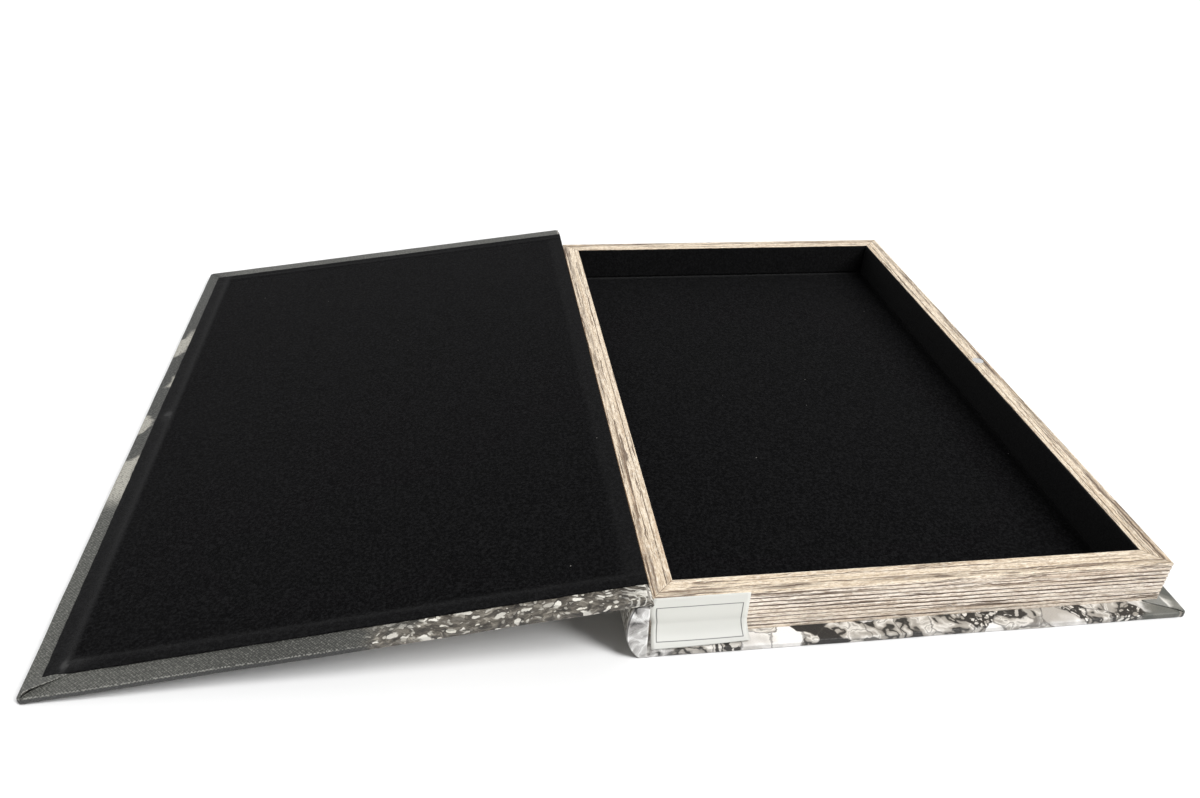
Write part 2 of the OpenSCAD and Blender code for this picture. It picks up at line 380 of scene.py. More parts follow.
def plain_lid(s, flat, across, along, soft, to_back):
    """The lid's plain grey, dimmer away from its fore edge, where a dark stretch and pale blots lie."""
    colour = s.mix(s.range(s.noise(flat, 12), 0.3, 0.7), (0.08, 0.081, 0.073), (0.11, 0.111, 0.1))
    dim = s.most(s.range(across, *DIM_FROM, 1.0, 0.62), to_back)
    dimmed = s.add("CombineXYZ", {0: dim, 1: dim, 2: dim}).outputs[0]
    colour = s.mix(1.0, colour, dimmed, "MULTIPLY")
    fore = s.range(across, *FORE_FROM)
    colour = s.mix(s.times(fore, s.range(along, *FORE_DARK, 0.0, 0.6)), colour, (0.012, 0.013, 0.014))
    middle = s.range(s.apart(along, BLOTS_AT), *BLOTS_REACH)
    blot = s.times(s.times(s.range(s.noise(soft, 42, 1.0), 0.51, 0.58), fore), middle)
    return s.mix(s.times(blot, 0.85), colour, (0.5, 0.48, 0.42))


def printed_cloth(s):
    """Cloth printed like marbled paper in greys and cream, plain dark grey over most of the lid, with a
    painted highlight on its folded edges and painted shade on their sides and lower rounds.
    """
    flat = s.sheet_place()
    across, along, _ = s.parts(flat)
    drawn = s.wander(flat, flat, 30, 0.022)
    torn = s.wander(drawn, flat, 260, 0.0042)
    soft = s.wander(flat, flat, 90, 0.012)
    pebbled = pebbled_paper(s, torn)
    case = case_print(s, across, along, torn, soft, pebbled)
    to_back = s.range(along, *BACK_FROM)
    plain = plain_lid(s, flat, across, along, soft, to_back)
    edge = s.linear(s.noise(flat, 34, 3.0), 0.09, s.minus(across, 0.045))
    printed = s.range(s.linear(to_back, -PRINT_LESS, edge), *PRINT_END)
    colour = s.mix(printed, plain, s.mix(s.range(across, 1 * MM, 3 * MM), pebbled, case))

    def unprinted(share):
        """1 on plain cloth, and less by share where it is printed."""
        return s.linear(printed, -share, 1.0)

    threads = weave(s, flat)
    shown = unprinted(0.9)
    gaps = s.times(s.range(threads, 0.05, 0.55, 0.62, 0.0), shown)
    tops = s.times(s.range(threads, 0.6, 0.95, 0.0, 0.34), shown)
    colour = s.mix(tops, s.mix(gaps, colour, (0.02, 0.02, 0.018)), (0.36, 0.355, 0.32))
    fold = s.groove()
    # painted highlight: the top round of each folded edge and the end of the fore edge's turn-in are
    # lightened in dots on the thread tops
    painted_highlight = s.times(s.range(fold, 0.55, 0.95, 0.0, 0.55), s.range(threads, 0.3, 0.6, 0.1, 1.0))
    colour = s.mix(s.times(painted_highlight, unprinted(0.85)), colour, (0.36, 0.355, 0.33))
    # painted shade: the side and lower round of each folded edge are darkened, less where it is printed
    painted_shade = s.times(s.range(fold, -0.1, -0.4, 0.0, 0.74), unprinted(0.75))
    colour = s.mix(painted_shade, colour, (0.022, 0.022, 0.024))
    # painted shadow: a darker line along the lower round of each folded edge
    colour = s.mix(s.range(fold, -0.55, -0.95, 0.0, 0.75), colour, (0.03, 0.03, 0.032))
    s.set(Base_Color=colour, Roughness=0.55, Specular_IOR_Level=0.4)
    s.set(Normal=s.bump(s.times(threads, unprinted(0.5)), 0.16 * MM))


def felt(s):
    """Black needle felt: matt and fibrous, with a few specks of lint, and greyer by the mesh's value:
    painted sheen over the lid's turn-ins, painted light on the walls, lighter by the hinge, and its mark
    and blob.
    """
    place = s.place()
    fibres = s.noise(place, 2400, 2.0, 0.7)
    tufts = s.noise(place, 760, 4.0, 0.8)
    worn = s.noise(place, 30, 3.0)
    black = s.mix(s.range(tufts, 0.42, 0.66), (0.0, 0.0, 0.0002), (0.0084, 0.0084, 0.009))
    black = s.mix(s.range(fibres, 0.52, 0.68, 0.0, 0.3), black, (0.014, 0.014, 0.0148))
    black = s.mix(s.range(worn, 0.45, 0.8, 0.0, 0.2), black, (0.0055, 0.0055, 0.006))
    sheen_and_marks = s.groove()
    # painted sheen and light: the felt is greyed by the mesh's value, which also holds its mark and blob
    sheen_and_mark_share = s.times(sheen_and_marks, s.range(fibres, 0.35, 0.65, 0.3, 0.7))
    black = s.mix(sheen_and_mark_share, black, (0.026, 0.026, 0.0265))
    smudge = s.times(s.range(sheen_and_marks, 1.02, 1.6), s.range(s.noise(place, 260, 3.0), 0.45, 0.6))
    black = s.mix(smudge, black, (0.05, 0.05, 0.05))
    lint = s.range(s.cells(place, 120)["Distance"], 0.036, 0.024)
    rare = s.range(s.noise(place, 60, 1.0), 0.64, 0.67)
    s.set(Base_Color=s.mix(s.times(lint, rare), black, (0.22, 0.21, 0.2)))
    s.set(Roughness=1.0, Specular_IOR_Level=0.04, Sheen_Weight=0.03, Sheen_Roughness=0.5)
    s.set(Normal=s.bump(s.linear(fibres, 0.5, tufts), 0.3 * MM, 0.7))


def page_foil(s):
    """Bleached wood grain: cream and tan with fine brown lines and cracks, dark in the grooves."""
    flat = s.sheet_place()
    depth = s.groove()
    run = s.math("MODULO", s.parts(flat)[1], FOIL_SHIFT)
    on_rim = s.range(run, WALL_H - 1.5 * MM, WALL_H + 1.5 * MM)
    bent = s.wander(flat, flat, 60, 0.0011)
    waved = s.wander(bent, flat, 330, 0.0009, 1.0)

    def grains(at, along, across, detail=2.0, roughness=0.5):
        """Noise drawn out along the wall, as fine along and across it as given."""
        return s.noise(s.scaled(at, along, across), 1.0, detail, roughness)

    crack = grains(waved, 40, 1150, 4.0, 0.6)
    group = grains(bent, 16, 300)
    grain = grains(waved, 150, 1700, 3.0, 0.7)
    fleck = grains(waved, 480, 1700, 2.0, 0.7)
    board = grains(bent, 9, 420)
    side = s.ramp(
        board,
        (0.3, (0.68, 0.55, 0.43)), (0.42, (0.88, 0.77, 0.64)),
        (0.55, (1.0, 0.91, 0.8)), (0.72, (0.83, 0.72, 0.6)),
    )
    rim = s.ramp(
        board,
        (0.3, (0.66, 0.51, 0.36)), (0.42, (0.8, 0.67, 0.5)),
        (0.55, (0.92, 0.8, 0.63)), (0.72, (0.75, 0.62, 0.47)),
    )
    colour = s.mix(on_rim, side, rim)
    colour = s.mix(s.range(grain, 0.47, 0.6, 0.0, 0.62), colour, (0.33, 0.225, 0.145))
    colour = s.mix(s.range(fleck, 0.5, 0.66, 0.0, 0.5), colour, (0.38, 0.26, 0.165))
    colour = s.mix(s.range(fleck, 0.46, 0.34, 0.0, 0.5), colour, (0.97, 0.91, 0.82))
    by_edge = s.range(s.apart(run, WALL_H - 0.4 * MM), 3.4 * MM, 0.8 * MM)
    likely = s.linear(by_edge, 0.045, s.linear(s.minus(group, 0.5), 0.55, crack))
    streak = s.range(s.linear(depth, 0.1, likely), 0.59, 0.64)
    colour = s.mix(s.times(streak, 0.85), colour, (0.115, 0.074, 0.05))
    uneven = grains(waved, 45, 650, 4.0, 0.65)
    line = s.range(s.linear(s.minus(uneven, 0.5), 2.0, depth), 0.05, 0.5)
    line = s.times(s.times(line, s.range(depth, 0.0, 0.25)), s.linear(by_edge, -0.75, 1.0))
    present = s.range(grains(bent, 11, 420), 0.38, 0.54, 0.32, 1.0)
    dark = s.times(s.times(line, present), s.linear(on_rim, -0.35, 1.0))
    colour = s.mix(s.times(dark, 0.98), colour, (0.085, 0.053, 0.035))
    beside = s.apart(s.math("MODULO", s.parts(waved)[1], FOIL_SHIFT), WALL_H + RIM_CRACK_IN)
    second = s.times(s.range(beside, 0.55 * MM, 0.05 * MM, 0.0, 0.75), present)
    colour = s.mix(s.times(second, s.range(uneven, 0.4, 0.6)), colour, (0.16, 0.1, 0.065))
    colour = s.mix(s.range(depth, -0.3, -0.7, 0.0, 0.42), colour, (0.1, 0.064, 0.043))
    s.set(Base_Color=colour, Roughness=0.5, Specular_IOR_Level=0.35)
    s.set(Normal=s.bump(s.minus(s.times(grain, -1.0), streak), 0.06 * MM, 0.8))


def pressed_board(s, dark, pale):
    """A flat colour broken up by fibres and flecks."""
    fibres = s.noise(s.place(), 900, 4.0, 0.65)
    s.set(Base_Color=s.ramp(fibres, (0.3, dark), (0.7, pale)), Roughness=0.85, Specular_IOR_Level=0.2)
    s.set(Normal=s.bump(fibres, 0.1 * MM, 0.6))


def nickel(s):
    """Nickel plate with a fine worn grain."""
    grain = s.noise(s.place(), 1500, 3.0)
    s.set(Base_Color=s.ramp(grain, (0.3, (0.88, 0.88, 0.89)), (0.7, (0.98, 0.98, 0.98))))
    s.set(Metallic=1.0, Roughness=0.42, Normal=s.bump(grain, 0.02 * MM, 0.5))


def label_paper(s):
    """Off-white coated paper with one thin plain frame and nothing in it, darker down its lower bend as
    painted shade.
    """
    flat = s.sheet_place()
    tooth = s.noise(flat, 4000)
    across, down, _ = s.parts(flat)
    half_w, half_h = 0.5 * (label_high.x - label_low.x), 0.5 * (LABEL_L - FRAME_TOP - FRAME_FOOT)
    beside = s.minus(s.apart(across, half_w), half_w - FRAME_IN)
    above = s.minus(s.apart(down, FRAME_TOP + half_h), half_h)
    off = s.math("ABSOLUTE", s.most(beside, above))
    paper = s.mix(tooth, (0.665, 0.665, 0.622), (0.735, 0.735, 0.688))
    # painted shade: the paper darkens down the lower bend, which faces the light more than the upright part
    paper = s.mix(s.range(down, 0.35 * LABEL_L, 0.85 * LABEL_L, 0.0, 0.9), paper, (0.53, 0.53, 0.5))
    colour = s.mix(s.range(off, 0.1 * MM, 0.28 * MM, 0.85, 0.0), paper, (0.05, 0.05, 0.05))
    s.set(Base_Color=colour, Roughness=0.42, Specular_IOR_Level=0.45, Normal=s.bump(tooth, 0.01 * MM, 0.5))


def studio_floor(s):
    """Plain white studio floor."""
    s.set(Base_Color=(0.93, 0.93, 0.93, 1), Roughness=0.9, Specular_IOR_Level=0.1)


LOOKS = {
    "printed_cloth": (printed_cloth,),
    "black_felt": (felt,),
    "page_foil": (page_foil,),
    "fibreboard": (pressed_board, (0.3, 0.2, 0.12), (0.46, 0.34, 0.22)),
    "greyboard": (pressed_board, (0.22, 0.2, 0.18), (0.4, 0.38, 0.34)),
    "magnet": (nickel,),
    "label": (label_paper,),
}
MATERIALS = {slot: material(slot, *look) for slot, look in LOOKS.items()}


def linked(name, data):
    """A new object with its data, in the scene."""
    made = bpy.data.objects.new(name, data)
    scene.collection.objects.link(made)
    return made


class Surface:
    """Faces gathered grid by grid, each point with its place on the flat sheet."""

    def __init__(self):
        self.points = []
        self.flat = []
        self.groove = []
        self.faces = []

    def grid(self, points, flat, flip=False, groove=0.0, left_out=False):
        """points is rows x columns x 3, flat the same x 2. Faces look to columns crossed with rows."""
        rows, columns = points.shape[:2]
        first = len(self.points)
        self.points += [tuple(p) for p in points.reshape(-1, 3)]
        self.flat += [tuple(p) for p in flat.reshape(-1, 2)]
        self.groove += list(np.broadcast_to(groove, (rows, columns)).ravel())
        for row, column in np.argwhere(~np.broadcast_to(left_out, (rows - 1, columns - 1))):
            corner = first + row * columns + column
            face = [corner, corner + 1, corner + columns + 1, corner + columns]
            self.faces.append(face[::-1] if flip else face)

    def build(self, name, slot, body, thickness, *replaced):
        """The object, welded where grids meet, as thick as given on its inner side, riding on its body."""
        mesh = bpy.data.meshes.new(name)
        work = bmesh.new()
        flat_layer = work.loops.layers.uv.new("flat")
        groove_layer = work.verts.layers.float.new("groove")
        verts = [work.verts.new(p) for p in self.points]
        for vertex, value in zip(verts, self.groove):
            vertex[groove_layer] = value
        for face in self.faces:
            new = work.faces.new([verts[i] for i in face])
            new.smooth = True
            for loop, i in zip(new.loops, face):
                loop[flat_layer].uv = self.flat[i]
        bmesh.ops.remove_doubles(work, verts=work.verts, dist=0.002 * MM)
        bmesh.ops.dissolve_degenerate(work, edges=work.edges, dist=0.001 * MM)
        loose = [v for v in work.verts if not v.link_faces]
        bmesh.ops.delete(work, geom=loose, context="VERTS")
        work.to_mesh(mesh)
        work.free()
        mesh.materials.append(MATERIALS[slot])
        made = linked(name, mesh)
        thick = made.modifiers.new("thickness", "SOLIDIFY")
        thick.thickness = thickness
        thick.offset = -1
        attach(made, body)
        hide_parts(*replaced)
        return made


@np.vectorize
def waves(x, seed):
    """A smooth wander from about -1 to 1."""
    return 2 * noise.noise(Vector((x, seed * 7.31, seed * 3.17)))


def ease(x):
    x = np.clip(x, 0, 1)
    return x * x * (3 - 2 * x)


def hump(x, width):
    """1 at zero, falling to nothing over about twice the width."""
    return np.exp(-(x / width) ** 2)


def joined(*parts):
    return np.stack(parts, -1)


def spread(start, end, step):
    """Places from start to end, about step apart."""
    return np.linspace(start, end, max(2, math.ceil((end - start) / step) + 1))


def places(*parts):
    """All the places in the parts, in order and each once, to a thousandth of a millimetre."""
    return np.unique(np.round(np.concatenate(parts), 6))


def run_along(points):
    """How far along a line each of its points is."""
    return np.concatenate([[0], np.cumsum(np.linalg.norm(np.diff(points, axis=0), axis=1))])


class Profile:
    """A cover's cloth seen along the spine: its outer face and, point for point, its inner."""

    def __init__(self, outer, inner):
        self.outer = np.array(outer)
        across = np.array(inner) - self.outer
        self.s = run_along(self.outer)
        self.t = np.linalg.norm(across, axis=1)
        self.inward = across / self.t[:, None]
        self.length = self.s[-1]

    def thickness(self, s):
        return np.interp(s, self.s, self.t)

    def at(self, s, b, u):
        """World points at s along the line, b along the spine and u inwards from the outer face."""
        x, z = (np.interp(s, self.s, self.outer[:, i]) for i in (0, 1))
        nx, nz = (np.interp(s, self.s, self.inward[:, i]) for i in (0, 1))
        return joined(x + u * nx, b, z + u * nz)


def lid_point(along, up):
    """A point of the open lid, along it from the fold line and up, as world X and Z."""
    return (fold_x - along * math.cos(OPEN_SLOPE) - up * math.sin(OPEN_SLOPE),
            fold_z - along * math.sin(OPEN_SLOPE) + up * math.cos(OPEN_SLOPE))


def line(start, end, n):
    """n points from start to just short of end."""
    return [tuple(np.array(start) + (np.array(end) - np.array(start)) * i / n) for i in range(n)]


def arc(centre, radius, start, end, n):
    """n points round centre from the angle start to just short of the angle end."""
    return [(centre[0] + radius * math.cos(t), centre[1] + radius * math.sin(t))
            for t in start + (end - start) * np.arange(n) / n]


def rounded_edge(radius, top, n):
    """n points from the side, round an edge and onto the top: distance in, and height."""
    turns = np.linspace(0, QUARTER, n)
    return [(radius * (1 - math.cos(t)), top - radius * (1 - math.sin(t))) for t in turns]


def board_end(distance):
    """A wrapped cover's thickness, by distance from its board's start: two cloths, then up a round end."""
    x = np.clip(distance / BOARD_END_R, 0, 1)
    return 2 * CLOTH_T + (COVER_T - 2 * CLOTH_T) * np.sqrt(1 - (1 - x) ** 2)


def offset(points, side, thickness):
    """Each point moved by its thickness to one side of the line."""
    points = np.array(points)
    tangent = np.gradient(points, axis=0)
    tangent /= np.linalg.norm(tangent, axis=1)[:, None]
    return points + side * joined(-tangent[:, 1], tangent[:, 0]) * np.reshape(thickness, (-1, 1))


def lid_profile():
    """From the fold line, round into the lid's outer face and along it to the fore edge."""
    centre = FOLD_DROP + CLOTH_T / 2
    turns = np.linspace(0, QUARTER, 9)
    outer = [lid_point(centre - FOLD_DROP * math.cos(t), FOLD_DROP * math.sin(t)) for t in turns]
    fore_edge = lid_point(LID_W, FOLD_DROP)
    outer += line(lid_point(centre, FOLD_DROP), fore_edge, 400)[1:] + [fore_edge]
    return Profile(outer, offset(outer, -1, board_end(run_along(outer) - FOLD_DROP * math.pi / 4)))


def spine_outline():
    """The spine's outer face, from its inner edge at the top, round the bulge to its foot."""
    bulge = SPINE_T - SPINE_EDGE_T
    half = SPINE_H / 2
    radius = (half ** 2 + bulge ** 2) / (2 * bulge)
    fullest = SPINE_X - SPINE_T
    centre = (fullest + radius, half)
    turn = math.asin((half - SPINE_R) / (radius - SPINE_R))
    corner_x = centre[0] - (radius - SPINE_R) * math.cos(turn)
    curve = arc((corner_x, SPINE_H - SPINE_R), SPINE_R, QUARTER, math.pi - turn, 8)
    curve += arc(centre, radius, math.pi - turn, math.pi + turn, 44)
    curve = [(fullest + SPINE_TOP_SHARE * (x - fullest), z) if z > half else (x, z) for x, z in curve]
    points = line((SPINE_X, SPINE_H), curve[0], 6) + curve
    points += arc((corner_x, SPINE_R), SPINE_R, math.pi + turn, 3 * QUARTER, 8)
    return points + line((corner_x, 0), (SPINE_X, 0), 6)


def case_profile():
    """From the fold line over the spine's top, round it and along under the back cover."""
    two = 2 * CLOTH_T
    hinge = line((fold_x - CLOTH_T / 2, fold_z), (SPINE_X, SPINE_H), 6)
    spine = spine_outline()
    under = line((SPINE_X, 0), (base_high.x, 0), 460) + [(base_high.x, 0)]
    share = np.linspace(0, 1, len(spine) + 1)[:-1]
    spine_inner = [(SPINE_X, SPINE_H - two - (SPINE_H - 2 * two) * k) for k in share]
    run = np.array(under)[:, 0] - BASE_BOARD_START
    inner = [*offset(hinge, 1, [two] * len(hinge)), *spine_inner, *offset(under, 1, board_end(run))]
    return Profile(hinge + spine + under, inner)


def places_along(profile, fine_until):
    """A cover's columns of points: close together by the hinge, spine and fore edge."""
    end = profile.length - CORNER_R
    by_fore_edge = end - spread(0, 20 * MM, 1.6 * MM)
    found = places(spread(0, fine_until, 0.34 * MM), spread(fine_until, end, 5 * MM), by_fore_edge)
    return found[(found >= 0) & (found <= end)]


def cloth_rings(thickness):
    """Rings of a wrapped edge: distance in from it, height, length along the cloth, and painted light:
    shadow on the lower round, shade up the side and a highlight on the top round.
    """
    e = np.minimum(EDGE_R, thickness / 2)
    zero = thickness * 0
    side = thickness - 2 * e
    edge = e * (QUARTER - 1)
    inner = edge + side + edge
    rings = [(d + zero, zero, -d + zero, zero) for d in OUTER_ROWS]
    # painted shadow along the lower round
    for t in np.linspace(0, QUARTER, 5):
        rings.append((e * (1 - math.sin(t)), e * (1 - math.cos(t)), e * (t - 1), zero - math.sin(2 * t)))
    # painted shade up the side
    for share in SIDE_ROWS:
        rings.append((zero, e + side * share, edge + side * share, zero - EDGE_SHADE))
    # painted highlight along the top round
    for t in np.linspace(0, QUARTER, 5):
        height, length = thickness - e * (1 - math.sin(t)), edge + side + e * t
        rings.append((e * (1 - math.cos(t)), height, length, zero + EDGE_HIGHLIGHT * math.sin(2 * t)))
    return rings + [(d + zero, thickness + zero, inner + d + zero, zero) for d in INNER_ROWS]


def wrapped_cover(name, body, profile, fine_until, print_side, flaps, replaced):
    """A cover's cloth round its boards: outer face, rounded edges, and turn-ins with corner folds."""
    half = COVER_L / 2
    inside = half - CORNER_R
    width = profile.length
    along = places_along(profile, fine_until)
    share = along / (width - CORNER_R)
    near = np.append(spread(0, 21 * MM, 1.5 * MM), FLAP_HIGHLIGHT_W)
    across = places(spread(-inside, inside, 6 * MM), near - inside, inside - near) / inside
    turn = np.linspace(0, QUARTER, 6)
    flip = print_side < 0
    surface = Surface()

    def ends(side):
        """Rows of the front (-1) or back (1) edge, from the fold line to the corner."""
        rows = []
        for k, (inset, *_) in enumerate(cloth_rings(profile.thickness(along))):
            s = share * (width - np.maximum(inset, CORNER_R))
            d, u, t, painted_light_and_marks = cloth_rings(profile.thickness(s))[k]
            wobble = 0.14 * MM * waves(s * 45, 3 + side) * ease(1 - d / (6 * MM))
            rough = 0.05 * MM * waves(s * 90, 11 + side) * (u > 1.5 * MM)
            flat = joined(print_side * s, side * (half + t))
            rows.append((s, side * (half - d + wobble), u + rough, flat, painted_light_and_marks))
        return rows

    def fore():
        """Rows of the fore edge, from the front to the back."""
        rings = cloth_rings(np.full(len(across), profile.thickness(width)))
        rows = []
        for k, (d, u, t, painted_light_and_marks) in enumerate(rings):
            b = across * (half - np.maximum(d, CORNER_R))
            wobble = 0.12 * MM * waves(b * 40, 5) * ease(1 - d / (6 * MM))
            wobble *= ease((half - np.abs(b)) / (12 * MM))
            if k >= len(rings) - len(INNER_ROWS):
                b, u, painted_light_and_marks = folded_corners(d, b, u)
            rows.append((width - d + wobble, b, u, joined(print_side * (width + t), b), painted_light_and_marks))
        return rows

    def folded_corners(d, b, u):
        """The fore edge's turn-in, laid over the others: its ends are moved out, raised and given a painted
        highlight.
        """
        moved, raised, painted_light_and_marks = b.copy(), u.copy(), np.zeros(len(b))
        for side, (reach, curl) in flaps.items():
            order = np.argsort(-side * b)
            depth = d[order]
            fade = np.clip(1 - np.abs(b[order] - b[order[0]]) / FLAP_W, 0, 1)
            moved[order] += side * depth * (1 - 1 / reach) * fade
            q = half - np.abs(moved[order])
            over = ease((depth - q) / (1.2 * MM) + 0.35) * (fade > 0) * ease(depth / (1.2 * MM) - 1)
            lift = curl * fade ** 2.5 * ease((depth - 0.9 * MM) / (2.2 * MM))
            raised[order] += over * 1.15 * CLOTH_T + lift * ease((TURN_IN - depth) / (11 * MM))
            # painted highlight along the flap's end
            painted_light_and_marks[order[0]] = 1
        return moved, raised, painted_light_and_marks

    def corner(side):
        """Rows of the round corner at one end of the fore edge."""
        angle = turn if side < 0 else turn[::-1]
        rows = []

        def rounded(inset, radius):
            return width - inset + radius * np.sin(angle), side * (half - inset + radius * np.cos(angle))

        for d, u, t, painted_light_and_marks in cloth_rings(np.full(len(turn), profile.thickness(width))):
            inset = np.maximum(d, CORNER_R)
            s, b = rounded(inset, np.maximum(CORNER_R - d, 0))
            flat_s, flat_b = rounded(inset, np.maximum(CORNER_R + t, 0))
            rows.append((s, b, u, joined(print_side * flat_s, flat_b), painted_light_and_marks))
        return rows

    def lay(rows, flipped):
        s, b, u, flat, painted_light_and_marks = (np.array(column) for column in zip(*rows))
        surface.grid(profile.at(s, b, u), flat, flipped, painted_light_and_marks)

    for side in (-1, 1):
        lay(ends(side), flip == (side < 0))
        lay(corner(side), flip)
    lay(fore(), flip)
    s, b = np.meshgrid(share * (width - TURN_IN), across * (half - TURN_IN), indexing="ij")
    surface.grid(profile.at(s, b, s * 0), joined(print_side * s, b), flip)
    made = surface.build(name, "printed_cloth", body, CLOTH_T, *replaced)


def felt_sheen_and_marks(aa, bb, over_fore, over_end, blob):
    """How much greyer the lid's felt is painted: a painted sheen on the band and crests over the turn-ins,
    lighter by the hinge, and at its mark and blob.
    """
    by_hinge = 0.35 * ease((FELT_HINGE_W - aa) / FELT_STEP_W)
    fore_crest = hump(aa - (LID_W - TURN_IN) - 1.6 * MM, 2 * MM)
    end_crest = hump(np.abs(bb) - (COVER_L / 2 - TURN_IN) - 1 * MM, 1.2 * MM)
    mark = hump(aa - FELT_MARK[0], 2.2 * MM) * hump(bb - FELT_MARK[1], 5 * MM)
    # painted sheen: the band over the turn-ins, brightest on its crests
    sheen_and_marks = np.maximum(over_fore * (0.6 + 0.5 * fore_crest), over_end * (0.22 + 0.4 * end_crest))
    return np.maximum(sheen_and_marks, by_hinge) + 0.9 * blob + 0.8 * mark


def lid_lining():
    """The lid's felt: flat on the board, raised over the turn-ins, turned down over the hinge edge."""
    width = LID_W - FELT_IN_FORE
    half = COVER_L / 2 - FELT_IN_END
    top = COVER_T + FELT_T
    lip = [(0.0, CLOTH_T * 1.2), (0.0, top * 0.5)]
    lip_in, lip_height = np.array(lip + rounded_edge(FELT_T, top, 6)).T
    fore_in, fore_drop = np.array(FELT_FORE_DROPS).T * MM
    end_in, end_drop = np.array(FELT_END_DROPS).T * MM
    inner = width - 1.2 * MM
    a = places(spread(FELT_T + 0.8 * MM, inner, 2.6 * MM), inner - spread(0, 13 * MM, 0.8 * MM))
    inside = half - 0.6 * MM
    fine = spread(0, 10 * MM, 0.8 * MM)
    b = places(spread(-inside, inside, 2.6 * MM), fine - inside, inside - fine)
    drop_a = np.concatenate([np.zeros(len(lip_in) + len(a)), fore_drop])
    drop_b = np.concatenate([end_drop[::-1], np.zeros(len(b)), end_drop])
    a = np.concatenate([lip_in, a, width - fore_in])
    b = np.concatenate([(end_in - half)[::-1], b, half - end_in])
    aa, bb = np.meshgrid(a, b, indexing="ij")
    over_fore = ease((aa - (LID_W - TURN_IN)) / FELT_STEP_W + 0.5)
    over_end = ease((np.abs(bb) - (COVER_L / 2 - TURN_IN)) / FELT_STEP_W + 0.5)
    blob = hump(aa - FELT_BLOB[0], 5.5 * MM) * hump(bb - FELT_BLOB[1], 2.6 * MM)
    height = top - CLOTH_T * (1 - over_fore) * (1 - over_end)
    height += 0.035 * MM * waves(aa * 60, bb * 60) + FELT_BLOB_H * blob
    height -= np.maximum(drop_a[:, None], drop_b[None, :])
    lip_height = lip_height[:, None] - np.minimum(drop_b, 0.1 * MM)[None, :]
    height[:len(lip_in)] = lip_height - (1 - over_end[:len(lip_in)]) * CLOTH_T * ease(lip_height / top)
    ragged_a = 0.1 * MM * waves(bb * 700, 9.1) * (aa > width - 0.5 * MM)
    ragged_b = 0.1 * MM * waves(aa * 700, 5.3) * (np.abs(bb) > half - 0.5 * MM)
    x, z = lid_point(aa + ragged_a, FOLD_DROP + height)
    surface = Surface()
    painted_light_and_marks = felt_sheen_and_marks(aa, bb, over_fore, over_end, blob)
    surface.grid(joined(x, bb + ragged_b * np.sign(bb), z), joined(aa, bb), False, painted_light_and_marks)
    made = surface.build("lid_felt_panel", "black_felt", "lid", FELT_SKIN, "lid_felt")


class Wall:
    """One side of an upright rectangle, counted from the front, and points beside its line."""

    def __init__(self, low, high, number):
        corners = [(low.x, low.y), (high.x, low.y), (high.x, high.y), (low.x, high.y)]
        self.start = np.array(corners[number])
        whole = np.array(corners[(number + 1) % 4]) - self.start
        self.length = float(np.linalg.norm(whole))
        self.direction = whole / self.length

    def at(self, along, inward, z):
        """World points along the line, inward from it and up."""
        (x0, y0), (dx, dy) = self.start, self.direction
        return joined(x0 + dx * along - dy * inward, y0 + dy * along + dx * inward, z)


def floor_lining():
    """The felt panel on the tray's floor."""
    xs, ys = (spread(floor_low[i], floor_high[i], 4 * MM) for i in (0, 1))
    xx, yy = np.meshgrid(xs, ys, indexing="ij")
    zz = floor_high.z + 0.05 * MM * waves(xx * 50, yy * 50)
    surface = Surface()
    surface.grid(joined(xx, yy, zz), joined(xx, yy), True)
    made = surface.build("tray_floor_felt", "black_felt", "case", FLOOR_FELT_SKIN, "floor_felt")


def wall_strip(side, number, painted_light_and_marks):
    """A wall's strip of felt: its face is a felt's thickness in, and its top edge is round."""
    low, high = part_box(f"{side}_wall_felt")
    wall = Wall(floor_low, floor_high, number)
    across = np.array([0, 0.35, 0.65, 0.88, 1.0]) * FELT_T
    top = high.z - np.array([0, 0.02, 0.08, 0.2, 0.42]) * MM
    down = spread(0, high.z - 0.9 * MM - low.z, 1.6 * MM)[::-1] + low.z
    out = np.concatenate([across, np.full(len(down), FELT_T)])
    z = np.concatenate([top, down])
    tt, k = np.meshgrid(spread(0, wall.length, 2.4 * MM), np.arange(len(z)), indexing="ij")
    swell = 0.1 * MM * waves(tt * 55, number + 2.5)
    swell *= ease((z[k] - low.z) / (6 * MM)) * ease((high.z - z[k]) / (5 * MM))
    ragged = 0.12 * MM * waves(tt * 800, number + 0.4) * (k < 4)
    surface = Surface()
    points = wall.at(tt, out[k] + swell * (out[k] >= FELT_T), z[k] + ragged)
    # painted light: the felt is greyed by the wall's value
    surface.grid(points, joined(tt, z[k]), True, painted_light_and_marks)
    made = surface.build(f"{side}_felt_strip", "black_felt", "case", FELT_SKIN, f"{side}_wall_felt")


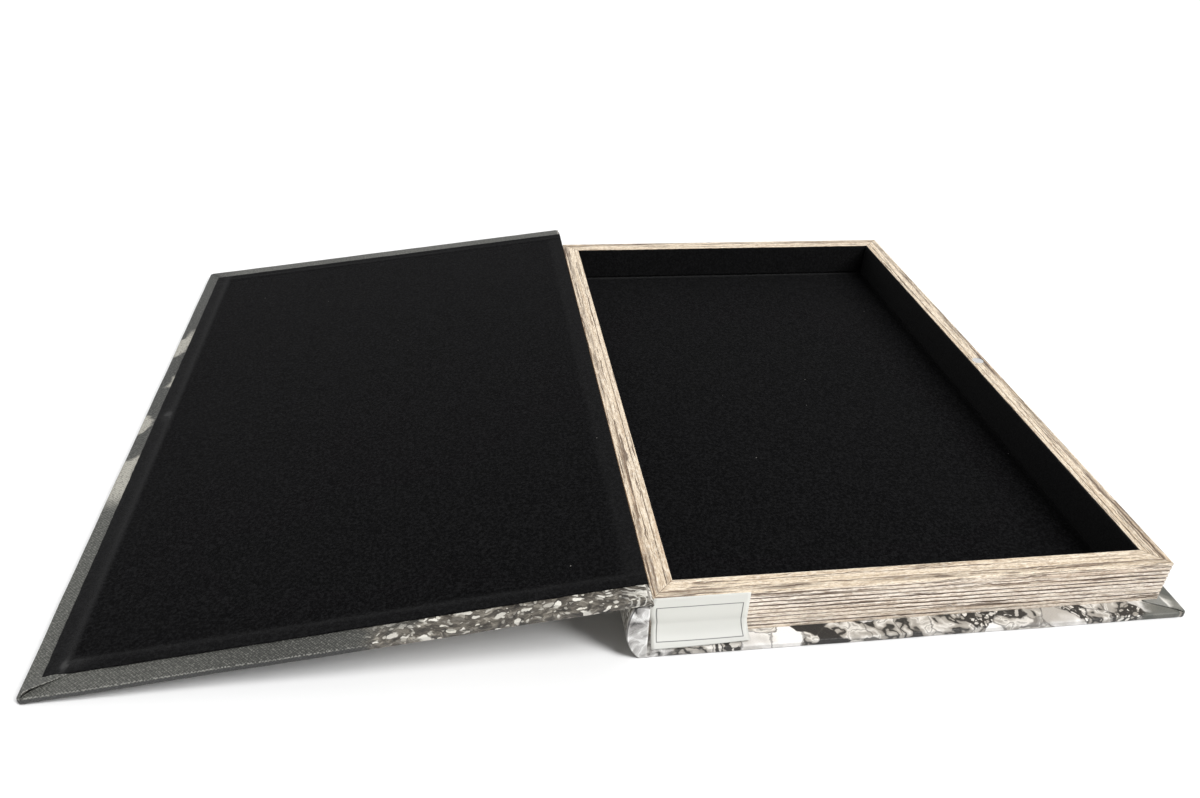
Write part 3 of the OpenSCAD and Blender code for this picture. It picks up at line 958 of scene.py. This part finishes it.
def moulding_section():
    """A wall's section up its grooved side and over its rim: depth, height and share of a groove."""
    pitch = (WALL_H - 2 * GROOVE_BAND - GROOVE_W) / (GROOVE_N - 1)
    middles = GROOVE_BAND + GROOVE_W / 2 + np.arange(GROOVE_N) * pitch
    steps = np.array((-1.1, -0.7, -0.35, 0, 0.35, 0.7, 1.1)) * GROOVE_W / 2
    heights = places(spread(0, WALL_H - 0.35 * MM, 0.42 * MM), (middles[:, None] + steps[None, :]).ravel())
    near = np.min(np.abs(heights[:, None] - middles[None, :]), axis=1)
    groove = np.clip(1 - near / (GROOVE_W / 2), 0, 1)
    points = [(GROOVE_D * g, h, g) for h, g in zip(heights, groove)]
    points += [(*point, 0.0) for point in rounded_edge(RIM_EDGE_R, WALL_H, 4)[1:]]
    middle = WALL_T - RIM_LINE_IN
    line_steps = np.array((-1.1, -0.5, 0, 0.5, 1.1)) * RIM_LINE_W / 2
    for x in places(spread(0.7 * MM, WALL_T - 0.2 * MM, 0.45 * MM), middle + line_steps):
        g = max(0.0, 1 - abs(x - middle) / (RIM_LINE_W / 2))
        points.append((x, WALL_H - RIM_LINE_D * g, max(g, 0.3 * (0.5 * MM < x < 3.6 * MM))))
    points.append((WALL_T, WALL_H - 0.15 * MM, 0.0))
    return np.array(points)


def moulding_foil(side, number):
    """One wall's foil, mitred at both ends, its grooves a little uneven along their length."""
    wall = Wall(wall_low, tray_high, number)
    length = wall.length
    section = moulding_section()
    depth, height, groove = section.T
    run = run_along(section[:, :2])
    near = np.array([0, 0.22, 0.45]) * MM / length
    by_hole = 0.5 + np.array([-1, 1]) * MAGNET_ROOM / length
    t = np.unique(np.concatenate([near, spread(0.004, 0.996, 2.2 * MM / length), 1 - near, by_hole]))
    tt, k = np.meshgrid(t, np.arange(len(depth)), indexing="ij")
    to_end = np.minimum(tt, 1 - tt)
    along = depth[k] + tt * (length - 2 * depth[k])
    outer = height[k] < WALL_H - 0.34 * MM
    rough = 0.06 * MM * waves(along * 70, height[k] * 2300 + number * 11)
    rough += 0.1 * MM * groove[k] * waves(along * 45, k + number * 31.0)
    sunk = np.maximum(depth[k] + outer * rough, 0)
    on_rim = (height > WALL_H - 0.31 * MM) & (depth > 0.5 * MM) & (depth < WALL_T - 0.1 * MM)
    beside_magnet = ease((np.abs(along - length / 2) - MAGNET_ROOM) / (8 * MM))
    drop = on_rim[k] * 0.045 * MM * (1 + waves(along * 60, depth[k] * 2100 + number * 17)) * beside_magnet
    mitre = 0.1 * MM * (to_end < 0.0003)
    points = wall.at(along, sunk + outer * mitre, wall_low.z + height[k] - drop - (~outer) * mitre)
    shift = number * np.array([FOIL_STEP, FOIL_SHIFT])
    surface = Surface()
    by_magnet = False
    if side == "fore_edge":
        low, high = np.flatnonzero(on_rim)[[0, -1]]
        by_magnet = np.zeros((len(t) - 1, len(depth) - 1), bool)
        near_middle = np.abs((t[:-1] + t[1:]) / 2 - 0.5) * length < MAGNET_ROOM
        by_magnet[np.ix_(near_middle, np.arange(low, high))] = True
        patch, patch_flat, patch_groove = round_the_magnet(section, run, length, low, high)
        patch = wall.at(patch[..., 0], patch[..., 1], wall_low.z + patch[..., 2])
        surface.grid(patch, patch_flat + shift, True, patch_groove)
    worn = np.where(to_end * length < 0.25 * MM, -1.0, groove[k])
    surface.grid(points, joined(along, run[k]) + shift, True, worn, by_magnet)
    surface.build(f"{side}_foil_skin", "page_foil", "case", FOIL_SKIN, f"{side}_wall_foil")


def round_the_magnet(section, run, length, low, high):
    """The foil round the magnet's hole: rings from its wall out to the gap in the rim's grid."""
    rim_depth, rim_height, rim_groove = section[low:high + 1].T
    turn = np.linspace(0, 2 * math.pi, 49)
    sine, cosine = np.sin(turn), np.cos(turn)
    middle = np.array([length / 2, WALL_T / 2])
    room = np.where(sine > 0, rim_depth[-1] - middle[1], middle[1] - rim_depth[0])
    reach = np.minimum(MAGNET_ROOM / np.abs(cosine).clip(1e-6), room / np.abs(sine).clip(1e-6))
    outside = middle + reach[:, None] * joined(cosine, sine)
    outside[:, 0] = outside[:, 1] + outside[:, 0] / length * (length - 2 * outside[:, 1])
    hole = middle + MAGNET_R * joined(cosine, sine)
    points, flats, grooves = [], [], []
    for share, down in ((0, 0.45), (0, 0.08), (0.06, 0), (0.3, 0), (0.65, 0), (1.0, 0)):
        along, depth = (hole + (outside - hole) * share).T
        points.append(joined(along, depth, np.interp(depth, rim_depth, rim_height) - down * MM))
        flats.append(joined(along, np.interp(depth, rim_depth, run[low:high + 1])))
        grooves.append(np.interp(depth, rim_depth, rim_groove) if down < 0.1 else turn * 0 + 1)
    return np.array(points), np.array(flats), np.array(grooves)


def price_label():
    """The label: down the front wall, round its foot and out over the back cover."""
    face, top, bottom = wall_low.y - LABEL_OUT, RIM_Z - 0.15 * MM, base_high.z
    bend_r = (face - label_low.y) / (1 - math.cos(LABEL_BEND))
    start = bottom + bend_r * math.sin(LABEL_BEND)
    points = [(face, z) for z in np.linspace(top, start, 16)]
    upright = len(points)
    points += [(face - bend_r * (1 - math.cos(a)), start - bend_r * math.sin(a))
               for a in np.linspace(0, LABEL_BEND, 16)[1:]]
    run = run_along(points)
    foot = run[upright - 1]
    x = np.linspace(label_low.x + 0.3 * MM, label_high.x, 26)
    xx, k = np.meshgrid(x, np.arange(len(points)), indexing="ij")
    share = (xx - x[0]) / (x[-1] - x[0])
    left = 1 - share
    free = np.sin(np.clip(run[k] / foot, 0, 1) * math.pi) ** 1.3 * left ** 20
    out = ease((run[k] - foot) / (run[-1] - foot))
    further = LABEL_MORE * out * (1 - 0.5 * share)
    y, z = (np.array(points)[:, i][k] for i in (0, 1))
    y -= 0.06 * MM * (1 + waves(xx * 130, 2.2)) * (k < upright) + further + 0.25 * MM * free
    z += LABEL_OUT + out * (0.35 + 0.5 * share ** 3 + 0.3 * left ** 4) * MM
    moved = xx + 0.5 * MM * out * (share - 0.3) - LABEL_BOW * free - 0.8 * MM * out * left ** 2
    surface = Surface()
    surface.grid(joined(moved, y, z), joined(xx - label_low.x, run[k] + further), False)
    made = surface.build("price_label_paper", "label", "case", LABEL_SKIN, "price_label")


def dress_cad_nodes():
    """Materials for the CAD nodes that stay."""
    rows = {
        "greyboard": ["base_board", "lid_board"],
        "fibreboard": ["spine_core", *(f"{side}_wall" for side in WALLS)],
        "magnet": ["tray_magnet", "lid_magnet"],
    }
    for slot, names in rows.items():
        for name in names:
            node = frame["nodes"][name]
            node.data.materials.clear()
            node.data.materials.append(MATERIALS[slot])


def studio():
    """White floor, a tall narrow strip of soft suns, and the world."""
    floor = bpy.data.meshes.new("floor")
    far = FLOOR_HALF
    corners = [(x, y, -FLOOR_DROP) for x, y in ((-far, -far), (far, -far), (far, far), (-far, far))]
    floor.from_pydata(corners, [], [(0, 1, 2, 3)])
    floor.materials.append(material("studio_floor", studio_floor))
    linked("floor", floor)
    scene.world = studio_world()
    for lift in KEY_LIFTS:
        sun = bpy.data.lights.new(f"key_{lift}", "SUN")
        sun.energy = KEY_ENERGY
        sun.angle = KEY_ANGLE
        up = math.radians(lift)
        level = math.cos(up)
        towards = Vector((level * math.cos(KEY_TURN), level * math.sin(KEY_TURN), math.sin(up)))
        linked(sun.name, sun).rotation_euler = towards.to_track_quat("Z", "Y").to_euler()
    scene.view_settings.view_transform = "Standard"


def studio_world():
    """White near the horizon and behind the box, dimmer overhead."""
    s = Shader(bpy.data.worlds.new("studio"), "Background")
    _, back, up = s.parts(s.place("Generated"))
    low = s.range(up, 0.12, 0.22, 1.0, 0.0)
    behind = s.times(s.range(back, 0.2, 0.8), s.range(up, 0.4, 0.7, 1.0, 0.0))
    around = s.range(back, -0.7, 0.3, 0.12, 0.42)
    s.set(Color=(1, 1, 1, 1), Strength=s.most(around, s.most(low, behind)))
    return s.owner


def photo_camera():
    """The camera at the photograph's place, turned a little about its line of sight."""
    camera = bpy.data.cameras.new("camera")
    camera.lens = CAMERA_LENS
    camera.sensor_width = SENSOR_W
    camera.sensor_fit = "HORIZONTAL"
    camera.clip_start = 0.01
    camera.clip_end = 100
    look = Vector(CAMERA_LOOK).normalized()
    level = look.cross(Vector((0, 0, 1))).normalized()
    above = level.cross(look)
    right = level * math.cos(CAMERA_ROLL) + above * math.sin(CAMERA_ROLL)
    up = above * math.cos(CAMERA_ROLL) - level * math.sin(CAMERA_ROLL)
    turn = Matrix((right, up, -look)).transposed()
    eye = linked("camera", camera)
    eye.matrix_world = Matrix.Translation(CAMERA_AT) @ turn.to_4x4()
    scene.camera = eye


wrapped_cover("lid_cover_cloth", "lid", lid_profile(), 4 * MM, -1, LID_FLAPS,
              ["lid_cloth"])
wrapped_cover("case_cover_cloth", "case", case_profile(), 42 * MM, 1, CASE_FLAPS,
              ["base_cloth", "joint_cloth", "spine_cloth", "hinge_cloth"])
lid_lining()
floor_lining()
for number, (side, painted_light_and_marks) in enumerate(WALLS.items()):
    wall_strip(side, number, painted_light_and_marks)
for number, side in enumerate(WALLS):
    moulding_foil(side, number)
price_label()
dress_cad_nodes()
studio()
photo_camera()
